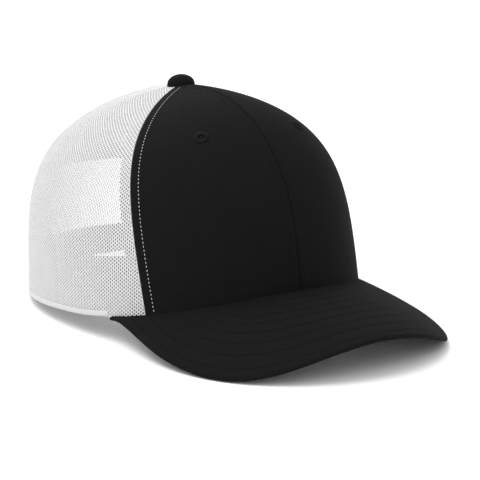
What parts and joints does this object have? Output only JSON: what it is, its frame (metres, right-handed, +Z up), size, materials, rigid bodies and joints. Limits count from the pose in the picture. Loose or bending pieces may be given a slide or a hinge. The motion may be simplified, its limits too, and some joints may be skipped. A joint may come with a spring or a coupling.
{
  "type": "trucker cap",
  "caption": "Trucker cap with black front panels and curved visor, white mesh sides and back, covered top button and plastic snap strap across the rear opening.",
  "frame": {"origin": "middle of the bounding box's bottom face, on the surface the cap rests on", "axes": "+Z up, visor toward -Y and rear opening toward +Y, wearer's right side toward -X"},
  "size_m": [0.1686, 0.2775, 0.1291],
  "materials": {
    "black_twill": "brushed cotton twill",
    "buckram": "stiff woven backing",
    "white_mesh": "open knitted mesh",
    "white_tape": "woven tape",
    "white_sweatband": "cotton twill",
    "visor_board": "pressed sheet",
    "button_metal": "stamped",
    "black_thread": "overcast thread",
    "strap_plastic": "moulded, satin"
  },
  "bodies": {
    "cap": {"front_panel_right": "black_twill", "front_panel_left": "black_twill", "front_buckram_right": "buckram", "front_buckram_left": "buckram", "side_mesh_right": "white_mesh", "side_mesh_left": "white_mesh", "rear_mesh_right": "white_mesh", "rear_mesh_left": "white_mesh", "centre_seam_tape": "white_tape", "front_seam_tape_right": "white_tape", "front_seam_tape_left": "white_tape", "rear_seam_tape_right": "white_tape", "rear_seam_tape_left": "white_tape", "sweatband": "white_sweatband", "opening_binding": "white_tape", "hem_binding_right": "white_tape", "hem_binding_left": "white_tape", "visor_board": "visor_board", "visor_top_cover": "black_twill", "visor_under_cover": "black_twill", "button_core": "button_metal", "button_cover": "black_twill", "button_washer": "button_metal", "eyelet_right": "black_thread", "eyelet_left": "black_thread", "hole_strap_tab": "strap_plastic", "peg_strap_tab": "strap_plastic"},
    "hole_strap": {"hole_strap": "strap_plastic"},
    "peg_strap": {"peg_strap": "strap_plastic"}
  },
  "joints": [
    {"name": "hole_strap_flex", "type": "hinge", "parent": "cap", "child": "hole_strap", "pos_m": [0.0349, 0.1283, 0.01698], "axis": [0, -0.0875, -0.9962], "range_deg": [0, 60], "stiffness_Nm_per_rad": 0.002},
    {"name": "peg_strap_flex", "type": "hinge", "parent": "cap", "child": "peg_strap", "pos_m": [-0.0349, 0.1283, 0.01698], "axis": [0, -0.0875, -0.9962], "range_deg": [0, 25], "stiffness_Nm_per_rad": 0.002}
  ]
}
